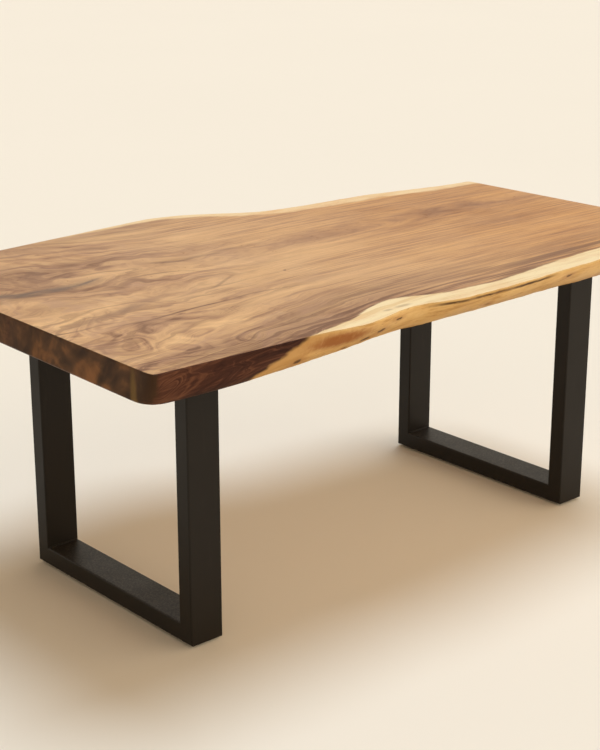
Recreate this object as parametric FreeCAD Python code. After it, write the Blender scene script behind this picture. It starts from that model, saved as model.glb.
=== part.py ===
"""Live edge dining table: one solid slab bolted to two welded steel U legs.

Millimetres, +Z up. X runs along the table, the front natural edge faces -Y, and
the origin lies on the floor under the middle of the slab's outline.
"""
import FreeCAD
import Part
import math
import os

# Whole table
TABLE_HEIGHT = 760.0
CUT_OVERRUN = 2.0

# Slab: overall box, eased edges and corners
SLAB_LENGTH = 1868.0
SLAB_WIDTH = 1143.0
SLAB_THICKNESS = 73.0
TOP_EASE = 2.5
UNDERSIDE_EASE = 6.0
TOP_CORNER_RADIUS = 14.0
UNDERSIDE_CORNER_RADIUS = 46.0

# Legs: rectangular tube, wide side along X
TUBE_WIDTH = 90.0
TUBE_DEPTH = 45.0
TUBE_WALL = 3.0
TUBE_CORNER_RADIUS = 4.0
LEG_WIDTH = 634.0
END_OVERHANG = 299.0
LEG_SHIFT_X = -9.5
LEG_SHIFT_Y = -14.0

# Mounting plate welded on each pair of uprights
PLATE_THICKNESS = 8.0
SLOT_LENGTH = 20.0
SLOT_CLEARANCE = 0.5
BOLT_COUNT = 3
BOLT_PITCH = 200.0

# Hexagon bolts, square washers and threaded inserts
BOLT_RADIUS = 4.0
BOLT_REACH = 20.0
HEAD_ACROSS_FLATS = 13.0
HEAD_HEIGHT = 5.3
WASHER_WIDTH = 24.0
WASHER_THICKNESS = 2.0
WASHER_CLEARANCE = 0.2
INSERT_RADIUS = 6.5
INSERT_LENGTH = 25.0
THREAD_CLEARANCE = 0.05
SEAT_CLEARANCE = 0.1

# Levelling feet: nylon base, turning stem and hexagonal rivet nut
FOOT_INSET = 32.0
BASE_WIDTH = 36.0
BASE_HEIGHT = 4.0
BASE_CORNER = 5.0
BASE_CHAMFER = 0.8
STEM_RADIUS = 4.0
STEM_LENGTH = 22.0
PILOT_RADIUS = 5.0
PILOT_LENGTH = 2.6
HEX_ACROSS_FLATS = 13.0
HEX_HEIGHT = 2.2
SWIVEL_CLEARANCE = 0.3
NUT_FLANGE_RADIUS = 7.5
NUT_FLANGE_HEIGHT = 0.8
NUT_ACROSS_FLATS = 11.0
NUT_LENGTH = 14.0
NUT_BULGE_ACROSS_FLATS = 13.4

# Long edges from the left end to the right end. Each row holds shares: place along the
# length, place across the width, and undercut of the edge as a share of the thickness. The
# low undercuts at the left are sawn stretches, the high ones the natural edge of the log.
FRONT_EDGE_SHARES = [
    (-0.500, -0.4790, 0.22),
    (-0.404, -0.4810, 0.22),
    (-0.318, -0.4835, 0.38),
    (-0.278, -0.4845, 0.50),
    (-0.246, -0.4885, 0.68),
    (-0.211, -0.4985, 0.95),
    (-0.182, -0.4930, 0.98),
    (-0.150, -0.4775, 0.86),
    (-0.111, -0.4680, 0.84),
    (-0.085, -0.4715, 0.90),
    (-0.055, -0.4850, 1.10),
    (-0.015, -0.4895, 1.16),
    (0.036, -0.4905, 1.20),
    (0.093, -0.4845, 1.16),
    (0.151, -0.4775, 1.10),
    (0.234, -0.4680, 1.00),
    (0.366, -0.4595, 0.92),
    (0.500, -0.4540, 0.90),
]
BACK_EDGE_SHARES = [
    (-0.489, 0.4365, 0.20),
    (-0.332, 0.4600, 0.20),
    (-0.192, 0.4810, 0.24),
    (-0.117, 0.4930, 0.34),
    (-0.071, 0.4982, 0.50),
    (-0.037, 0.4880, 0.68),
    (0.008, 0.4560, 0.85),
    (0.072, 0.3950, 0.95),
    (0.158, 0.3690, 0.85),
    (0.255, 0.3605, 0.75),
    (0.351, 0.3390, 0.80),
    (0.423, 0.3135, 0.85),
    (0.484, 0.3050, 0.80),
]
# Section of the long edges from the underside up, as shares: height, and how much of the
# undercut is left there.
EDGE_SECTION_SHARES = [
    (0.20, 0.70),
    (0.40, 0.44),
    (0.60, 0.23),
    (0.80, 0.08),
]

# Heights worked out from the sizes above
SLAB_BOTTOM = TABLE_HEIGHT - SLAB_THICKNESS
PLATE_BOTTOM = SLAB_BOTTOM - PLATE_THICKNESS
HEX_BOTTOM = BASE_HEIGHT
HEX_TOP = HEX_BOTTOM + HEX_HEIGHT
RAIL_BOTTOM = HEX_TOP + NUT_FLANGE_HEIGHT
HALF_WIDTH = LEG_WIDTH / 2
FOOT_Y = HALF_WIDTH - FOOT_INSET
UP = FreeCAD.Vector(0, 0, 1)
ORIGIN = FreeCAD.Vector(0, 0, 0)


def vec(x, y, z):
    """Short form of a vector."""
    return FreeCAD.Vector(x, y, z)


def cylinder(radius, bottom, height, x=0, y=0):
    """Upright cylinder."""
    return Part.makeCylinder(radius, height, vec(x, y, bottom), UP)


def bore(radius, bottom, height):
    """Cutter for a round hole right through a piece of this height."""
    return cylinder(radius, bottom - CUT_OVERRUN, height + 2 * CUT_OVERRUN)


def prism(points, direction):
    """Solid made by pushing a closed polygon along a direction."""
    return Part.Face(Part.makePolygon(points + points[:1])).extrude(direction)


def hexagon(across_flats, bottom, height):
    """Upright hexagonal prism centred on Z."""
    radius = across_flats / math.sqrt(3)
    turns = [math.radians(60 * corner) for corner in range(6)]
    points = [vec(radius * math.cos(turn), radius * math.sin(turn), bottom) for turn in turns]
    return prism(points, vec(0, 0, height))


def rounded_rectangle(width, depth, radius):
    """Closed wire in the XY plane, centred on the origin, with round corners."""
    half_x = width / 2
    half_y = depth / 2
    inset = radius * (1 - math.sqrt(0.5))
    edges = []
    corners = [(1, 1), (-1, 1), (-1, -1), (1, -1)]
    for (sx, sy), (tx, ty) in zip(corners, corners[1:] + corners[:1]):
        along_y = vec(sx * half_x, sy * (half_y - radius), 0)
        along_x = vec(sx * (half_x - radius), sy * half_y, 0)
        middle = vec(sx * (half_x - inset), sy * (half_y - inset), 0)
        first, last = (along_y, along_x) if sx == sy else (along_x, along_y)
        next_y = vec(tx * half_x, ty * (half_y - radius), 0)
        next_x = vec(tx * (half_x - radius), ty * half_y, 0)
        following = next_y if tx == ty else next_x
        edges.append(Part.Arc(first, middle, last).toShape())
        edges.append(Part.LineSegment(last, following).toShape())
    return Part.Wire(edges)


def repeated(piece, places):
    """One copy of a fastener at each place along Y, as one group of separate solids."""
    copies = []
    for y in places:
        copy = piece.copy()
        copy.translate(vec(0, y, 0))
        copies.append(copy)
    return Part.makeCompound(copies)


def slab_levels():
    """Height, share of the undercut and inset of each outline from the underside to the top."""
    levels = [(0, 1, UNDERSIDE_EASE), (UNDERSIDE_EASE, 1, 0)]
    for height_share, left_share in EDGE_SECTION_SHARES:
        levels.append((height_share * SLAB_THICKNESS, left_share, 0))
    levels.append((SLAB_THICKNESS - TOP_EASE, 0, 0))
    levels.append((SLAB_THICKNESS, 0, TOP_EASE))
    return levels


def edge_points(rows, level, corner):
    """Points of one long edge at one level, held off the plan corners by their radius."""
    height, left_share, inset = level
    points = []
    for along_share, across_share, undercut_share in rows:
        inward = SLAB_THICKNESS * undercut_share * left_share + inset
        across = across_share * SLAB_WIDTH - math.copysign(inward, across_share)
        points.append(vec(along_share * SLAB_LENGTH, across, SLAB_BOTTOM + height))
    points[0].x += corner + inset
    points[-1].x -= corner + inset
    return points


def corner_arc(start, end, corner):
    """Rounded plan corner between a long edge and the sawn end beside it."""
    middle = (start + end) / 2
    bulge = (corner - middle) * (math.sqrt(2) - 1)
    return Part.Arc(start, middle + bulge, end).toShape()


def slab_outline(level):
    """Closed outline of the slab at one level: two long edges and two sawn ends."""
    left_share = level[1]
    corner = TOP_CORNER_RADIUS + (UNDERSIDE_CORNER_RADIUS - TOP_CORNER_RADIUS) * left_share
    front = edge_points(FRONT_EDGE_SHARES, level, corner)
    back = edge_points(BACK_EDGE_SHARES, level, corner)
    along = vec(corner, 0, 0)
    sharp = [front[0] - along, front[-1] + along, back[-1] + along, back[0] - along]
    right_run = (sharp[2] - sharp[1]).normalize() * corner
    left_run = (sharp[3] - sharp[0]).normalize() * corner
    right = [sharp[1] + right_run, sharp[2] - right_run]
    left = [sharp[3] - left_run, sharp[0] + left_run]
    curves = []
    for points in (front, back[::-1]):
        curve = Part.BSplineCurve()
        first_run = (points[1] - points[0]).normalize()
        last_run = (points[-1] - points[-2]).normalize()
        curve.interpolate(Points=points, InitialTangent=first_run, FinalTangent=last_run)
        curves.append(curve.toShape())
    return Part.Wire([
        curves[0],
        corner_arc(front[-1], right[0], sharp[1]),
        Part.LineSegment(*right).toShape(),
        corner_arc(right[1], back[-1], sharp[2]),
        curves[1],
        corner_arc(back[0], left[0], sharp[3]),
        Part.LineSegment(*left).toShape(),
        corner_arc(left[1], front[0], sharp[0]),
    ])


def bolt_places():
    """Bolt positions along the mounting plate, measured from its middle."""
    first = -BOLT_PITCH * (BOLT_COUNT - 1) / 2
    return [first + BOLT_PITCH * index for index in range(BOLT_COUNT)]


def leg_place(side):
    """Middle of a leg on the floor: side is -1 at the left and 1 at the right."""
    return vec(LEG_SHIFT_X + side * (SLAB_LENGTH / 2 - END_OVERHANG), LEG_SHIFT_Y, 0)


def live_edge_slab():
    """Solid wood top, lofted through its outlines, with blind holes for the inserts."""
    slab = Part.makeLoft([slab_outline(level) for level in slab_levels()], True, True)
    holes = []
    for side in (-1, 1):
        place = leg_place(side)
        for y in bolt_places():
            depth = INSERT_LENGTH + CUT_OVERRUN
            radius = INSERT_RADIUS + SEAT_CLEARANCE
            holes.append(cylinder(radius, SLAB_BOTTOM - CUT_OVERRUN, depth, place.x, place.y + y))
    return slab.cut(Part.makeCompound(holes))


def flat_at(edge, height):
    """True for an edge that lies at one height."""
    box = edge.BoundBox
    return max(abs(box.ZMin - height), abs(box.ZMax - height)) < CUT_OVERRUN / 4


def tube_face():
    """Cross-section of the leg tube, wide side along X."""
    outer = rounded_rectangle(TUBE_WIDTH, TUBE_DEPTH, TUBE_CORNER_RADIUS)
    width = TUBE_WIDTH - 2 * TUBE_WALL
    depth = TUBE_DEPTH - 2 * TUBE_WALL
    inner = Part.makePlane(width, depth, vec(-width / 2, -depth / 2, 0))
    return Part.Face(outer).cut(inner).Faces[0]


def mitre_wedge(rail_side):
    """Wedge cut from the front mitre: below the mitre for an upright, above it for the rail."""
    low = vec(-TUBE_WIDTH, -HALF_WIDTH - CUT_OVERRUN, RAIL_BOTTOM - CUT_OVERRUN)
    reach = TUBE_DEPTH + 2 * CUT_OVERRUN
    high = low + vec(0, reach, reach)
    spare = low + (vec(0, 0, reach) if rail_side else vec(0, reach, 0))
    return prism([low, high, spare], vec(2 * TUBE_WIDTH, 0, 0))


def upright():
    """Front upright: hollow tube, mitred at the foot, square under the plate."""
    face = tube_face()
    face.translate(vec(0, TUBE_DEPTH / 2 - HALF_WIDTH, RAIL_BOTTOM))
    tube = face.extrude(vec(0, 0, PLATE_BOTTOM - RAIL_BOTTOM))
    return tube.cut(mitre_wedge(False))


def floor_rail():
    """Floor rail: hollow tube, mitred at both ends, holed for the two rivet nuts."""
    face = tube_face()
    face.rotate(ORIGIN, vec(1, 0, 0), 90)
    face.translate(vec(0, HALF_WIDTH, RAIL_BOTTOM + TUBE_DEPTH / 2))
    tube = face.extrude(vec(0, -LEG_WIDTH, 0))
    front = mitre_wedge(True)
    tube = tube.cut(front).cut(mirrored(front))
    hole = hexagon(NUT_ACROSS_FLATS + 2 * SEAT_CLEARANCE, RAIL_BOTTOM - CUT_OVERRUN,
                   TUBE_WALL + 2 * CUT_OVERRUN)
    return tube.cut(repeated(hole, (-FOOT_Y, FOOT_Y)))


def mirrored(shape):
    """The same shape at the back of the leg."""
    return shape.mirror(ORIGIN, vec(0, 1, 0))


def mounting_plate():
    """Flat bar on top of the uprights, slotted across the grain so that the slab can move."""
    plate = Part.makeBox(TUBE_WIDTH, LEG_WIDTH, PLATE_THICKNESS,
                         vec(-TUBE_WIDTH / 2, -HALF_WIDTH, PLATE_BOTTOM))
    bottom = PLATE_BOTTOM - CUT_OVERRUN
    height = PLATE_THICKNESS + 2 * CUT_OVERRUN
    radius = BOLT_RADIUS + SLOT_CLEARANCE
    half = SLOT_LENGTH / 2 - radius
    middle = Part.makeBox(2 * radius, 2 * half, height, vec(-radius, -half, bottom))
    ends = [cylinder(radius, bottom, height, 0, end) for end in (-half, half)]
    slot = middle.fuse(ends).removeSplitter()
    return plate.cut(repeated(slot, bolt_places()))


def plate_bolt():
    """Hexagon bolt, head down."""
    seat = PLATE_BOTTOM - WASHER_THICKNESS
    head = hexagon(HEAD_ACROSS_FLATS, seat - HEAD_HEIGHT, HEAD_HEIGHT)
    shank = cylinder(BOLT_RADIUS, seat, SLAB_BOTTOM + BOLT_REACH - seat)
    return head.fuse(shank).removeSplitter()


def plate_washer():
    """Square washer that bridges the plate's slot under the bolt head."""
    bottom = PLATE_BOTTOM - WASHER_THICKNESS
    corner = vec(-WASHER_WIDTH / 2, -WASHER_WIDTH / 2, bottom)
    square = Part.makeBox(WASHER_WIDTH, WASHER_WIDTH, WASHER_THICKNESS, corner)
    return square.cut(bore(BOLT_RADIUS + WASHER_CLEARANCE, bottom, WASHER_THICKNESS))


def plate_insert():
    """Threaded insert, flush with the slab's underside."""
    body = cylinder(INSERT_RADIUS, SLAB_BOTTOM, INSERT_LENGTH)
    return body.cut(bore(BOLT_RADIUS + THREAD_CLEARANCE, SLAB_BOTTOM, INSERT_LENGTH))


def foot_nut():
    """Hexagonal rivet nut crimped in the rail's lower wall, with a round flange below it."""
    crimp = RAIL_BOTTOM + TUBE_WALL
    top = HEX_TOP + NUT_LENGTH
    flange = cylinder(NUT_FLANGE_RADIUS, HEX_TOP, NUT_FLANGE_HEIGHT)
    body = hexagon(NUT_ACROSS_FLATS, RAIL_BOTTOM, TUBE_WALL)
    bulge = hexagon(NUT_BULGE_ACROSS_FLATS, crimp, top - crimp)
    nut = flange.fuse([body, bulge]).removeSplitter()
    return nut.cut(bore(STEM_RADIUS + THREAD_CLEARANCE, HEX_TOP, NUT_LENGTH))


def foot_stem():
    """Turning stem: pilot that sits in the base, spanner hexagon and threaded shank."""
    pilot = cylinder(PILOT_RADIUS, HEX_BOTTOM - PILOT_LENGTH, PILOT_LENGTH)
    shank = cylinder(STEM_RADIUS, HEX_TOP, STEM_LENGTH)
    return hexagon(HEX_ACROSS_FLATS, HEX_BOTTOM, HEX_HEIGHT).fuse([pilot, shank]).removeSplitter()


def foot_base():
    """Square nylon base with cut corners that stands on the floor and holds the stem's pilot."""
    half = BASE_WIDTH / 2
    inner = half - BASE_CORNER
    corners = [(half, inner), (inner, half), (-inner, half), (-half, inner),
               (-half, -inner), (-inner, -half), (inner, -half), (half, -inner)]
    pad = prism([vec(x, y, 0) for x, y in corners], vec(0, 0, BASE_HEIGHT))
    rim = [edge for edge in pad.Edges if flat_at(edge, BASE_HEIGHT)]
    pad = pad.makeChamfer(BASE_CHAMFER, rim)
    depth = PILOT_LENGTH + SWIVEL_CLEARANCE
    return pad.cut(cylinder(PILOT_RADIUS + SWIVEL_CLEARANCE, BASE_HEIGHT - depth, depth + CUT_OVERRUN))


def leg_nodes(name):
    """Pieces of one leg, in the leg's own frame."""
    front = upright()
    nodes = {
        name + "_front_upright": front,
        name + "_rear_upright": mirrored(front),
        name + "_floor_rail": floor_rail(),
        name + "_mounting_plate": mounting_plate(),
        name + "_plate_bolts": repeated(plate_bolt(), bolt_places()),
        name + "_plate_washers": repeated(plate_washer(), bolt_places()),
        name + "_plate_inserts": repeated(plate_insert(), bolt_places()),
        name + "_foot_nuts": repeated(foot_nut(), (-FOOT_Y, FOOT_Y)),
    }
    for end, y in (("front", -FOOT_Y), ("rear", FOOT_Y)):
        pieces = {"foot_stem": foot_stem(), "foot_base": foot_base()}
        for piece_name, piece in pieces.items():
            piece.translate(vec(0, y, 0))
            nodes["_".join((name, end, piece_name))] = piece
    return nodes


def main():
    """Build every piece in place and write one file each."""
    os.makedirs("parts", exist_ok=True)
    nodes = {"live_edge_slab": live_edge_slab()}
    for name, side in (("left", -1), ("right", 1)):
        for node, shape in leg_nodes(name).items():
            shape.translate(leg_place(side))
            nodes[node] = shape
    for node, shape in nodes.items():
        shape.exportStep("parts/" + node + ".step")
        box = shape.BoundBox
        print(node, len(shape.Solids), shape.isValid(), round(shape.Volume), [
            round(value, 1) for value in (box.XMin, box.XMax, box.YMin, box.YMax, box.ZMin, box.ZMax)
        ])


main()
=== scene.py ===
"""Looks of the live edge dining table: a figured slab with natural long edges on black steel U legs.

Metres, +Z up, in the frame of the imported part. X runs along the table and the front edge faces -Y.
"""

import logging
import math
from dataclasses import dataclass
from enum import Enum

import bmesh
import bpy
import numpy as np
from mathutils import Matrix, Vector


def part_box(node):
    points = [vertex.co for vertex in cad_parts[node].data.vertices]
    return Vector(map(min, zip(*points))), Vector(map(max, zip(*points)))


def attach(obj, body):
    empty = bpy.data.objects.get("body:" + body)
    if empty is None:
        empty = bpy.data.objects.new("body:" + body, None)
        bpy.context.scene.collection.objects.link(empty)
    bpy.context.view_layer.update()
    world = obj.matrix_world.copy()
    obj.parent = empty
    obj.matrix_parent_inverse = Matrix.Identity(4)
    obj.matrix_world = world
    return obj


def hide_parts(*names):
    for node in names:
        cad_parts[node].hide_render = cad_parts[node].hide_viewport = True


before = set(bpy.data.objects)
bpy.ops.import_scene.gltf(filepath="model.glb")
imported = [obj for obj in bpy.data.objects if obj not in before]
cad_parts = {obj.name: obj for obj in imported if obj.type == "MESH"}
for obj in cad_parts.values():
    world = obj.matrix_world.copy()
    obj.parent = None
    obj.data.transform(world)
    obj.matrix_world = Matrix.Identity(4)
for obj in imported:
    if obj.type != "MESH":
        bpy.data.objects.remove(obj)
log = logging.getLogger("dining_table")

Colour = tuple[float, float, float, float]
Triple = tuple[float, float, float]
Pair = tuple[float, float]
Places = tuple[Pair, ...]
MM = 0.001
NOISE_MIDDLE = 0.5
CROWDING = 0.6
MERGE_GAP = 1e-6
SLIVER = 1e-7
POINT_DIGITS = 5


def srgb(red: int, green: int, blue: int) -> Colour:
    """Linear colour of an 8-bit display colour.

    Args:
        red, green, blue: Display values from 0 to 255.

    Returns:
        The linear colour with full alpha.
    """
    shown = np.array([red, green, blue]) / 255
    linear = np.where(shown <= 0.04045, shown / 12.92, ((shown + 0.055) / 1.055) ** 2.4)
    return (*linear.tolist(), 1.0)


def ease(value: np.ndarray, zero_at: float, one_at: float) -> np.ndarray:
    """Smooth step between two limits in either order: 3t^2 - 2t^3 of the clipped share t."""
    share = np.clip((value - zero_at) / (one_at - zero_at), 0, 1)
    return share * share * (3 - 2 * share)


def cubic(share: np.ndarray, start: np.ndarray, start_slope: np.ndarray, end: np.ndarray,
          end_slope: np.ndarray) -> np.ndarray:
    """Cubic between two values that leaves and reaches them with given slopes.

    Args:
        share: Place between the two, from 0 to 1.
        start, start_slope: First value and its slope.
        end, end_slope: Last value and its slope.

    Returns:
        The value at each share.
    """
    square = share**2
    cube = share**3
    return ((2 * cube - 3 * square + 1) * start + (cube - 2 * square + share) * start_slope
            + (3 * square - 2 * cube) * end + (cube - square) * end_slope)


class Value:
    """A value, vector or colour in a node tree, with arithmetic that adds nodes to the tree."""

    def __init__(self, graph: "Graph", socket: bpy.types.NodeSocket) -> None:
        """Keeps the graph and the socket that gives the value."""
        self.graph = graph
        self.socket = socket

    def __add__(self, other: "Feed") -> "Value":
        """The sum with another value."""
        return self.graph.math("ADD", self, other)

    def __sub__(self, other: "Feed") -> "Value":
        """The value less another."""
        return self.graph.math("SUBTRACT", self, other)

    def __mul__(self, other: "Feed") -> "Value":
        """The product with another value."""
        return self.graph.math("MULTIPLY", self, other)

    def __truediv__(self, other: "Feed") -> "Value":
        """The value over another."""
        return self.graph.math("DIVIDE", self, other)

    def parts(self) -> tuple["Value", "Value", "Value"]:
        """The three components of a vector."""
        split = self.graph.node("ShaderNodeSeparateXYZ", {0: self})
        return tuple(Value(self.graph, socket) for socket in split.outputs)

    def smooth(self, low: "Feed", high: float, start: float = 0.0, end: float = 1.0) -> "Value":
        """Smooth step between two limits, from start to end."""
        inputs = {0: self, 1: low, 2: high, 3: start, 4: end}
        return self.graph.value("ShaderNodeMapRange", inputs, interpolation_type="SMOOTHSTEP")

    def shaken(self, noise: "Value", amount: "Feed") -> "Value":
        """The value moved up and down by an amount of noise."""
        return (noise - NOISE_MIDDLE) * amount + self

    def noise(self, scale: "Feed", detail: float = 3.0, rough: float = 0.5,
              distortion: float = 0.0) -> "Value":
        """Cloudy noise from 0 to 1 over a vector.

        Args:
            scale: Waves per metre, one number for all axes or one for each.
            detail, rough, distortion: Settings of the noise node.

        Returns:
            The noise.
        """
        place = self
        if isinstance(scale, tuple):
            place = self.graph.value("ShaderNodeVectorMath", {0: self, 1: scale}, operation="MULTIPLY")
            scale = 1.0
        inputs = {"Vector": place, "Scale": scale, "Detail": detail, "Roughness": rough,
                  "Distortion": distortion}
        return self.graph.value("ShaderNodeTexNoise", inputs)

    def contours(self, count: float, detail: float, rough: float) -> "Value":
        """Noise over this value alone, so that it follows the value's contour lines."""
        return self.graph.joined(0.0, self * count, 0.0).noise(1.0, detail, rough)

    def blend(self, under: "Feed", over: "Feed", mode: str = "MIX") -> "Value":
        """Colour over another colour where this mask is 1."""
        return self.graph.blend(self, under, over, mode)

    def ramp(self, *stops: tuple[float, Colour]) -> "Value":
        """Colour picked along a row of stops.

        Args:
            stops: Place and colour of each stop.

        Returns:
            The colour at this value.
        """
        made = self.graph.node("ShaderNodeValToRGB", {0: self})
        elements = made.color_ramp.elements
        while len(elements) < len(stops):
            elements.new(1.0)
        for element, (place, colour) in zip(elements, stops):
            element.position = place
            element.color = colour
        return Value(self.graph, made.outputs[0])

    def bump(self, strength: float, distance: float) -> "Value":
        """Normal of a surface that this height raises."""
        inputs = {"Height": self, "Strength": strength, "Distance": distance}
        return self.graph.value("ShaderNodeBump", inputs)


Feed = Value | float | tuple[float, ...]
Named = dict[str, Value]


class Graph:
    """Short forms for laying out a node tree from its inputs to its output."""

    def __init__(self, tree: bpy.types.NodeTree) -> None:
        """Keeps the tree that the nodes go into."""
        self.tree = tree

    def node(self, kind: str, inputs: dict[str | int, Feed] | None = None,
             **settings: object) -> bpy.types.Node:
        """Adds a node.

        Args:
            kind: Blender's name of the node type.
            inputs: What its inputs take, by name or number: a link, or a value of their own.
            settings: Properties of the node.

        Returns:
            The new node.
        """
        made = self.tree.nodes.new(kind)
        for name, setting in settings.items():
            setattr(made, name, setting)
        for name, given in (inputs or {}).items():
            if isinstance(given, Value):
                self.tree.links.new(given.socket, made.inputs[name])
            else:
                made.inputs[name].default_value = given
        return made

    def value(self, kind: str, inputs: dict[str | int, Feed] | None = None, output: str | int = 0,
              **settings: object) -> Value:
        """Adds a node and gives one of its outputs."""
        return Value(self, self.node(kind, inputs, **settings).outputs[output])

    def math(self, operation: str, *values: Feed) -> Value:
        """One arithmetic step on values."""
        return self.value("ShaderNodeMath", dict(enumerate(values)), operation=operation)

    def joined(self, x: Feed, y: Feed, z: Feed) -> Value:
        """A vector from three components."""
        return self.value("ShaderNodeCombineXYZ", {0: x, 1: y, 2: z})

    def blend(self, mask: Feed, under: Feed, over: Feed, mode: str = "MIX") -> Value:
        """Colour over another colour where the mask is 1."""
        inputs = {0: mask, 6: under, 7: over}
        return self.value("ShaderNodeMix", inputs, 2, data_type="RGBA", blend_type=mode)

    def position(self) -> Value:
        """Object coordinates, in metres of the part's frame."""
        return self.value("ShaderNodeTexCoord", output="Object")

    def attribute(self, name: str, output: str = "Fac") -> Value:
        """A value or vector that the mesh carries at its points."""
        return self.value("ShaderNodeAttribute", output=output, attribute_name=name)

    def effect(self, name: str, **inputs: Feed) -> Named:
        """Places one of the shared effects and gives its outputs by name."""
        made = self.node("ShaderNodeGroup", inputs, node_tree=bpy.data.node_groups[name])
        return {socket.name: Value(self, socket) for socket in made.outputs}

    def grain(self, place: Value, figure: Value) -> Named:
        """Layers of the wood grain, round the rings that the mesh carries."""
        return self.effect("wood_grain", Position=place, Ring=self.attribute("ring"), Figure=figure)

    def vein(self, place: Value, name: str, width: float) -> Value:
        """Mask of a dark line that the mesh carries."""
        return self.effect("vein", Position=place, Line=self.attribute(name, "Vector"), Width=width)["Mask"]


class SharedEffects:
    """Node groups that several finishes use, each built once."""

    @staticmethod
    def start(name: str, **inputs: str) -> tuple[Graph, list[Value]]:
        """Makes a node group with its inputs.

        Args:
            name: The group's name.
            inputs: Kind of socket of each input, Float or Vector.

        Returns:
            Its graph, and its inputs in order.
        """
        tree = bpy.data.node_groups.new(name, "ShaderNodeTree")
        for key, kind in inputs.items():
            tree.interface.new_socket(key, in_out="INPUT", socket_type="NodeSocket" + kind)
        graph = Graph(tree)
        given = list(graph.node("NodeGroupInput").outputs)[:len(inputs)]
        return graph, [Value(graph, socket) for socket in given]

    @staticmethod
    def end(graph: Graph, **outputs: Value) -> None:
        """Gives a node group its value outputs.

        Args:
            graph: The group's graph.
            outputs: What each output gives.
        """
        for key in outputs:
            graph.tree.interface.new_socket(key, in_out="OUTPUT", socket_type="NodeSocketFloat")
        graph.node("NodeGroupOutput", outputs)

    @classmethod
    def wood_grain(cls) -> None:
        """Growth rings as streaks: layers of noise over (place along the grain, distance from the pith).

        Three clouds first bend the distance, more where the figure is strong. Towards the right the streaks
        are drawn out and change across the grain as well. Patch comes and goes over the wood. Ripple is the
        sheen of wavy fibres in such patches: noise that is short along the grain and long across it. Whorl is
        noise along the contour lines of a cloud.
        """
        graph, (position, ring, figure) = cls.start("wood_grain", Position="Vector", Ring="Float",
                                                    Figure="Float")
        along, across, _ = position.parts()
        for scale, detail, rough, distortion, figured, plain in (
                ((1.3, 3.6, 3.6), 2.0, 0.45, 0.3, 0.07, 0.02),
                ((5.0, 11.0, 11.0), 2.0, 0.45, 0.6, 0.050, 0.003),
                ((9.0, 16.0, 16.0), 1.0, 0.5, 0.8, 0.020, 0.001)):
            ring = ring.shaken(position.noise(scale, detail, rough, distortion), figure * figured + plain)
        beyond = graph.math("MAXIMUM", along + 0.25, 0.0)
        drawn = along - beyond * 0.55
        aside = beyond * across * 6.0
        layers = {}
        for name, run, length, width, *settings in (
                ("Broad", drawn, 0.8, 9.0, 3.0, 0.5, 0.15), ("Streak", drawn, 1.4, 38.0, 6.0, 0.66, 0.15),
                ("Fibre", along, 4.0, 210.0, 4.0, 0.7, 0.3), ("Pore", along, 60.0, 900.0, 1.0, 0.4, 0.15),
                ("Curl", along, 6.0, 24.0, 4.0, 0.55, 1.6), ("Line", drawn, 2.6, 80.0, 3.0, 0.55, 0.5)):
            layers[name] = graph.joined(run * length, ring * width, aside).noise(1.0, *settings)
        slanted = along * 60.0 + across * 24.0
        bands = graph.joined(slanted, ring * 14.0, 0.0).noise(1.0, 3.0, 0.5, 1.4)
        patch = position.noise((3.0, 6.0, 6.0), 2.0).smooth(0.42, 0.66)
        ripple = (bands - NOISE_MIDDLE) * patch * (figure * 0.8 + 0.2) + NOISE_MIDDLE
        whorl = position.noise((3.4, 6.0, 6.0), 1.5, 0.45, 1.0).contours(17.0, 2.0, 0.55)
        cls.end(graph, Patch=patch, Ripple=ripple, Whorl=whorl, **layers)

    @classmethod
    def vein(cls) -> None:
        """A dark line, shaken and broken by noise: its vector holds signed distance and strength."""
        graph, (position, line, width) = cls.start("vein", Position="Vector", Line="Vector", Width="Float")
        distance, strength, _ = line.parts()
        rough = position.noise((9.0, 30.0, 30.0), 4.0, 0.6)
        gap = graph.math("ABSOLUTE", distance.shaken(rough, width)) / width
        broken = rough.smooth(0.25, 0.6, 0.45, 1.0)
        cls.end(graph, Mask=gap.smooth(0.15, 1.0, 1.0, 0.0) * broken * strength)

    @classmethod
    def knot(cls) -> None:
        """An oval knot: a dark core and a soft halo round a centre, both shaken by noise."""
        graph, (position, centre, size) = cls.start("knot", Position="Vector", Centre="Vector", Size="Vector")
        offset = graph.value("ShaderNodeVectorMath", {0: position, 1: centre}, operation="SUBTRACT")
        share = graph.value("ShaderNodeVectorMath", {0: offset, 1: size}, operation="DIVIDE")
        reach = graph.value("ShaderNodeVectorMath", {0: share}, "Value", operation="LENGTH")
        reach = reach.shaken(position.noise(120.0), 0.9)
        cls.end(graph, Core=reach.smooth(0.55, 1.0, 1.0, 0.0), Halo=reach.smooth(0.7, 2.6, 1.0, 0.0))

    @classmethod
    def handling(cls) -> None:
        """Marks of use: smudges in patches, peel of a given size, and specks of dust and painted sheen on
        upward faces, thicker near the floor.
        """
        graph, (position, size) = cls.start("handling", Position="Vector", Size="Float")
        smudge = position.noise(7.0, 4.0, 0.6).smooth(0.35, 0.75)
        peel = position.noise(graph.math("DIVIDE", 1.0, size), 2.0)
        _, _, height = position.parts()
        _, _, facing = graph.value("ShaderNodeNewGeometry", output="Normal").parts()
        # Low upward faces: real dust, and also a painted sheen that lightens the rail tops.
        level = height.smooth(0.0, 0.25, 1.0, 0.25) * facing.smooth(0.3, 0.95)
        specks = position.noise(260.0, 4.0, 0.7).smooth(0.42, 0.7)
        cls.end(graph, Smudge=smudge, Peel=peel, Dust=level * specks)

    @classmethod
    def build(cls) -> None:
        """Builds every shared effect."""
        cls.wood_grain()
        cls.vein()
        cls.knot()
        cls.handling()


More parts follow.
